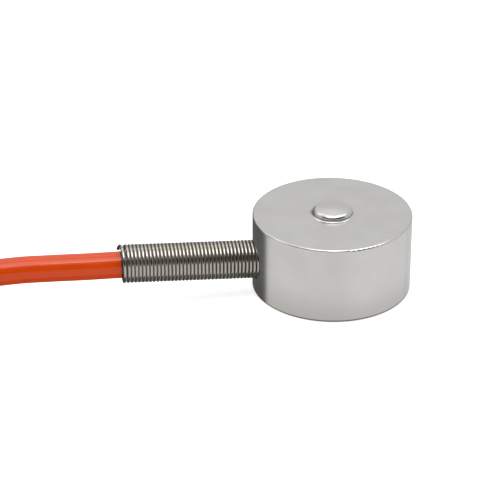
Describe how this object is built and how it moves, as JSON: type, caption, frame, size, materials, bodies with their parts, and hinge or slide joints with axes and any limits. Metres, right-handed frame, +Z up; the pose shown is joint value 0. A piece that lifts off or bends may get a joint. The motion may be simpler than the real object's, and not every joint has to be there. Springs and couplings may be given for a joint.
{
  "type": "button load cell",
  "caption": "Round low-profile compression load cell with a crowned loading button on top and a coiled cable leaving sideways through a spring strain relief.",
  "frame": {"origin": "centre of the body's standing face, on the load axis", "axes": "+Z up along the load axis towards the button, -X the way the cable leaves"},
  "size_m": [0.1007, 0.0557, 0.0208],
  "materials": {
    "stainless_body": "fine turned and satin",
    "cover_steel": "ground",
    "gauge_film": "polyimide film with foil grid",
    "circuit_board": "solder mask",
    "resistor_body": "glazed chip with soldered caps",
    "enamelled_wire": "enamel",
    "gland_brass": "turned",
    "clamp_copper": "crimped",
    "spring_wire": "drawn bright wire",
    "lead_red": "extruded",
    "lead_black": "extruded",
    "lead_green": "extruded",
    "lead_white": "extruded",
    "cable_jacket": "smooth extruded polyurethane",
    "tie_nylon": "moulded",
    "shrink_sleeve": "shrunk",
    "shield_sleeve": "extruded",
    "tinned_copper": "solder tinned"
  },
  "bodies": {
    "root": {"sensing_body": "stainless_body", "base_cover": "cover_steel", "strain_gauge_1": "gauge_film", "strain_gauge_2": "gauge_film", "strain_gauge_3": "gauge_film", "strain_gauge_4": "gauge_film", "terminal_board": "circuit_board", "trim_resistor_1": "resistor_body", "trim_resistor_2": "resistor_body", "trim_resistor_3": "resistor_body", "jumper_wires": "enamelled_wire", "cable_gland": "gland_brass", "cable_clamp": "clamp_copper", "strain_relief_spring": "spring_wire", "board_lead_red": "lead_red", "board_lead_black": "lead_black", "board_lead_green": "lead_green", "board_lead_white": "lead_white", "cable_run": "cable_jacket", "cable_coil": "cable_jacket", "cable_tail": "cable_jacket", "coil_tie": "tie_nylon", "end_sleeve": "shrink_sleeve", "flying_lead_red": "lead_red", "flying_lead_black": "lead_black", "flying_lead_green": "lead_green", "flying_lead_white": "lead_white", "shield_lead": "shield_sleeve", "tinned_ends": "tinned_copper"}
  },
  "joints": []
}
